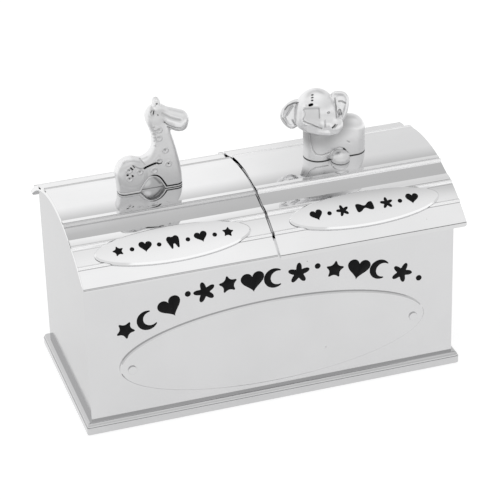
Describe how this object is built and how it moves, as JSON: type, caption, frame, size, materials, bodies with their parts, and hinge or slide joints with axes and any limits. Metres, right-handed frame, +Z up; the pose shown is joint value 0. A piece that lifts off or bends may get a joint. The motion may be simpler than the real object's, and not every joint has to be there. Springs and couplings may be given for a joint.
{
  "type": "keepsake box",
  "caption": "Silver-plated baby tooth box with two lined compartments, two arched hinged lids with a giraffe and an elephant, and an oval plate on the front.",
  "frame": {"origin": "under the middle of the box, on the surface that it stands on", "axes": "+X along the length, to the viewer's right when facing the front; +Y to the rear, where the hinges are; +Z up"},
  "size_m": [0.0878, 0.0494, 0.069],
  "materials": {
    "silver_plate": "bright polished silver plate",
    "silver_plate_lid": "mirror-bright silver plate",
    "cast_silver": "polished silver-plated casting",
    "hinge_steel": "plated, satin",
    "screw_steel": "plated, satin",
    "velvet": "dark blue velvet",
    "felt": "black felt"
  },
  "bodies": {
    "box": {"base_pad": "felt", "base_plate": "silver_plate", "plinth_moulding": "silver_plate", "front_wall": "silver_plate", "rear_wall": "silver_plate", "left_end_wall": "silver_plate", "right_end_wall": "silver_plate", "centre_divider": "silver_plate", "tooth_compartment_lining": "velvet", "curl_compartment_lining": "velvet", "engraving_plate": "silver_plate", "engraving_plate_pins": "silver_plate", "tooth_hinge_box_leaf": "hinge_steel", "tooth_hinge_pin": "hinge_steel", "curl_hinge_box_leaf": "hinge_steel", "curl_hinge_pin": "hinge_steel"},
    "tooth_lid": {"tooth_lid": "silver_plate_lid", "tooth_lid_plaque": "silver_plate_lid", "tooth_hinge_lid_leaf": "hinge_steel", "giraffe": "cast_silver", "giraffe_screws": "screw_steel"},
    "curl_lid": {"curl_lid": "silver_plate_lid", "curl_lid_plaque": "silver_plate_lid", "curl_hinge_lid_leaf": "hinge_steel", "elephant": "cast_silver", "elephant_screws": "screw_steel"}
  },
  "joints": [
    {"name": "tooth_lid_hinge", "type": "hinge", "parent": "box", "child": "tooth_lid", "pos_m": [-0.0218, 0.0214, 0.0373], "axis": [-1, 0, 0], "range_deg": [0, 105]},
    {"name": "curl_lid_hinge", "type": "hinge", "parent": "box", "child": "curl_lid", "pos_m": [0.0218, 0.0214, 0.0373], "axis": [-1, 0, 0], "range_deg": [0, 105]}
  ]
}
